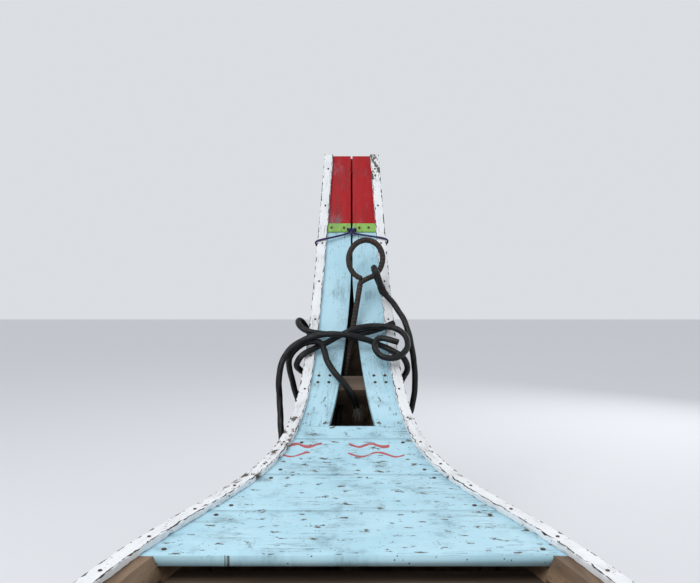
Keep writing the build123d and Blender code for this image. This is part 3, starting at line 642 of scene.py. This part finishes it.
def rope_finish(name, dark, scuffed, ridges, rough):
    """Worn cordage: fine fibres wind round it, and the ridges are scuffed paler."""
    material, tree, shader = shade(name)
    uv = put(tree, "UVMap", {"uv_map": "UVMap"}).outputs[0]
    spot = put(tree, "TexCoord").outputs["Object"]
    split = put(tree, "SeparateXYZ", None, Vector=uv)
    wound = sums(tree, "ADD", sums(tree, "MULTIPLY", split.outputs[0], 2 * math.pi * ridges[0]),
                 sums(tree, "MULTIPLY", split.outputs[1], 2 * math.pi * ridges[1]))
    fibre = sums(tree, "MULTIPLY", sums(tree, "ADD", sums(tree, "SINE", wound), 1.0), 0.5)
    patches = noise(tree, spot, 38.0, 6.0, 0.65)
    scratch = noise(tree, stretched(tree, uv, 60, 9), 1.0, 5.0, 0.7)
    pale = sums(tree, "MULTIPLY", step(tree, scratch, 0.52, 0.72), step(tree, patches, 0.38, 0.66))
    colour = blendin(tree, pale, dark, scuffed)
    tree.links.new(blendin(tree, sums(tree, "MULTIPLY", fibre, 0.35), colour, [0.55 * c for c in dark]),
                   shader.inputs["Base Color"])
    uneven = put(tree, "MapRange", None, Value=patches, To_Min=rough - 0.14, To_Max=rough + 0.16)
    tree.links.new(uneven.outputs[0], shader.inputs["Roughness"])
    shader.inputs["Specular IOR Level"].default_value = 0.28
    bump(tree, shader, sums(tree, "ADD", sums(tree, "MULTIPLY", fibre, 0.6), scratch), 0.45, 0.0007)
    return material


black_rope = rope_finish("black_rope", (0.0065, 0.0065, 0.0070), (0.060, 0.056, 0.052), (26.0, 14.0), 0.44)


def rope(name, route, body):
    """A rope's tube along its route, with three strands that wind once in 190 mm."""
    line, far = cord_line(name, route, 0.0035)
    points, faces, uv = tube(line, far, strand_size(ROPE / 2, 3, 0.13, 0.19), 30)
    return piece(name, points, faces, body, black_rope, uv), line, far


main_rope, main_line, main_far = rope("main_rope", MAIN_ROPE, None)
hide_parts("mooring_rope_main")
short_rope, short_line, short_far = rope("short_rope", SHORT_ROPE, "hull")
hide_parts("mooring_rope_short")

# The spliced eye hangs over the ring and is closed by turns of tarred twine.
EYE_ANGLE = math.radians(-42.0)
hang = RING_CENTRE + RING_RADIUS * math.cos(EYE_ANGLE) * RIGHT + RING_TALL * math.sin(EYE_ANGLE) * LEAN
pull = np.array(MAIN_ROPE[0]) / 1000 - hang
reach = np.linalg.norm(pull)
down = pull / reach
back = FACING - down * np.dot(FACING, down)
back = back / np.linalg.norm(back)
WRAP, CLOSE, LEG = 0.0233, 0.0103, reach - 0.016
turn = np.linspace(0, math.pi, 40)[:, None]
front_leg = hang + np.linspace(LEG, 0.004, 30)[:, None] * down
lean_in = np.linspace(0, 1, 30)[:, None] ** 0.7
front_leg = front_leg - back * (CLOSE + (WRAP - CLOSE) * lean_in)
bight = hang - down * WRAP * 0.98 * np.sin(turn) - back * WRAP * np.cos(turn)
back_leg = (front_leg + 2 * np.sum((hang - front_leg) * back, axis=1, keepdims=True) * back)[::-1]
eye_line, eye_far = smooth_line(np.concatenate([front_leg, bight, back_leg]), 0.002, 3)
eye_points, eye_faces, eye_uv = tube(eye_line, eye_far, strand_size(ROPE / 2 - 0.0003, 3, 0.13, 0.19), 30)
eye = piece("rope_eye_strand", eye_points, eye_faces, "stake", black_rope, eye_uv)
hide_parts("rope_eye")

twine = rope_finish("tarred_twine", (0.018, 0.013, 0.011), (0.13, 0.085, 0.065), (70.0, 3.0), 0.65)
TURNS, TWINE, SPLICE = 11, 0.0017, 0.036
entry = main_line[0] + (main_line[4] - main_line[0]) / np.linalg.norm(main_line[4] - main_line[0]) * 0.013
corner = main_line[0]
first_part = np.linalg.norm(corner - (hang + down * (reach - 0.024)))


def splice_spot(t):
    """A point of the splice's axis at the share t: down the legs, then on along the single rope."""
    far = t[:, None] * SPLICE
    start = hang + down * (reach - 0.024)
    bent = corner + (entry - corner) * np.clip((far - first_part) / (SPLICE - first_part), 0, 1)
    return np.where(far < first_part, start + down * far, bent)


def splice_half(t):
    """Half widths of its oval section: two legs side by side, drawn in to one rope."""
    drawn = (1 - np.cos(math.pi * np.clip(t / 0.8, 0, 1))) / 2
    wide = (CLOSE + ROPE / 2 + 0.0002) * (1 - drawn) + (ROPE / 2 + 0.0012) * drawn
    return wide[:, None], np.full_like(wide, ROPE / 2 + 0.0008)[:, None]


across = np.cross(down, back)
share = np.linspace(0, 1, 30)
wide, thin = splice_half(share)
around = np.linspace(0, 2 * math.pi, 36, endpoint=False)
core = splice_spot(share)[:, None] + (wide * np.cos(around))[..., None] * back
core = core + (thin * np.sin(around))[..., None] * across
core_faces = ring_faces(30, 36).tolist() + [list(range(36)), list(range(29 * 36, 30 * 36))]
sweep = np.linspace(0, 2 * math.pi * TURNS, 50 * TURNS)
share = sweep / sweep[-1]
wide, thin = splice_half(share)
twine_line = splice_spot(share) + (wide + 0.0006) * np.cos(sweep)[:, None] * back
twine_line = twine_line + (thin + 0.0006) * np.sin(sweep)[:, None] * across
twine_line, twine_far = smooth_line(twine_line, 0.0016)
twine_points, twine_faces, twine_uv = tube(twine_line, twine_far, lambda far, a: TWINE + 0 * far * a, 10)
core_uv = np.zeros((sum(len(f) for f in core_faces), 2))
splice_faces = twine_faces + [[len(twine_line) * 10 + c for c in f] for f in core_faces]
whipping = piece("eye_whipping_twine", np.concatenate([twine_points.reshape(-1, 3), core.reshape(-1, 3)]),
                 splice_faces, "stake", twine, np.concatenate([twine_uv, core_uv]))
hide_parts("rope_eye_whipping")

# Frayed end: the three strands open into pale loose yarns inside the opening.
draw = np.random.default_rng(7)
tip, way = main_line[-1], main_line[-1] - main_line[-6]
way = way / np.linalg.norm(way)
_, side_ways, up_ways = frames_along(main_line)
yarns, yarn_faces, yarn_uv, base = [], [], [], 0
for k in range(110):
    angle, spread = draw.uniform(0, 2 * math.pi), 0.0085 * math.sqrt(draw.uniform(0, 1))
    out = math.cos(angle) * side_ways[-1] + math.sin(angle) * up_ways[-1]
    length, bow, sag = draw.uniform(0.014, 0.042), draw.uniform(0.1, 0.55), draw.uniform(0.05, 0.35)
    t = np.linspace(0, 1, 9)[:, None]
    line = tip - way * 0.006 + out * spread + way * length * t + out * bow * length * t ** 2
    line = line + np.array([0, 0, -1]) * sag * length * t ** 2
    far = t[:, 0] * length

    def thinning(far, angle, length=length):
        return 0.00125 * (1.1 - 0.7 * far / length) + 0 * angle

    points, faces, uv = tube(line, far, thinning, 5)
    yarns.append(points.reshape(-1, 3))
    yarn_faces += [[base + c for c in f] for f in faces]
    yarn_uv.append(uv)
    base += len(points.reshape(-1, 3))
grey_yarn = rope_finish("frayed_yarn", (0.11, 0.10, 0.09), (0.38, 0.35, 0.31), (220.0, 2.0), 0.7)
frayed = piece("frayed_yarns", np.concatenate(yarns), yarn_faces, "hull", grey_yarn,
               np.concatenate(yarn_uv))

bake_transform(main_rope)

# ---- Purple tie: a thin braided cord tied round the prow at the green band ----
# Polypropylene cord, 7 mm, drawn tight round all four corners and knotted over the slot.
TIE = 0.007
TIE_PLACES = [
    (318, -8, -10), (336, -58, -14), (348, -104, -19.5), (354, -127, -15), (357, -127, 4), (361, -101, 62),
    (366, -72, 125), (368, -56, 160), (369, -38, 170), (369, 38, 170), (368, 56, 160), (364, 72, 125),
    (357, 101, 62), (350, 127, 4), (347, 127, -15), (341, 104, -19.5), (332, 58, -14), (320, 8, -10)]
spots = np.array(TIE_PLACES) / 1000
tie_route = lay(spots[:, 0], spots[:, 1], spots[:, 2]) * 1000
purple = rope_finish("purple_cord", (0.030, 0.017, 0.095), (0.085, 0.052, 0.21), (190.0, 4.0), 0.55)
tie_line, tie_far = cord_line("tie", [tuple(p) for p in tie_route], 0.002)
tie_points, tie_faces, tie_uv = tube(tie_line, tie_far, strand_size(TIE / 2, 4, 0.10, 0.03), 16)
tie = piece("purple_tie_cord", tie_points, tie_faces, "hull", purple, tie_uv)
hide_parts("purple_tie")

KNOT_GIRTH, KNOT_LIFT = 0.312, 0.0135
KNOT = lay(np.array(KNOT_GIRTH), 0.0, -KNOT_LIFT)
slope = float(np.interp(KNOT_GIRTH, girth, rake))
lift = np.array([0, -math.sin(slope), math.cos(slope)])
up_face = np.array([0, math.cos(slope), math.sin(slope)])
t = np.linspace(0, 2 * math.pi, 260)
knot_x = 0.0092 * (np.sin(t) + 0.62 * np.sin(2 * t))
knot_u = 0.0078 * (np.cos(t) - 0.62 * np.cos(2 * t))
knot_n = 0.0044 * -np.sin(3 * t)
knot_line = KNOT + knot_x[:, None] * np.array([1.0, 0, 0]) + knot_u[:, None] * up_face
knot_line = knot_line + knot_n[:, None] * lift
knot_line, knot_far = smooth_line(knot_line, 0.0015)
knot_points, knot_faces, knot_uv = tube(knot_line, knot_far, strand_size(0.0049, 4, 0.10, 0.03), 14)
knot = piece("purple_knot", knot_points, knot_faces, "hull", purple, knot_uv)
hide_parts("purple_tie_knot")
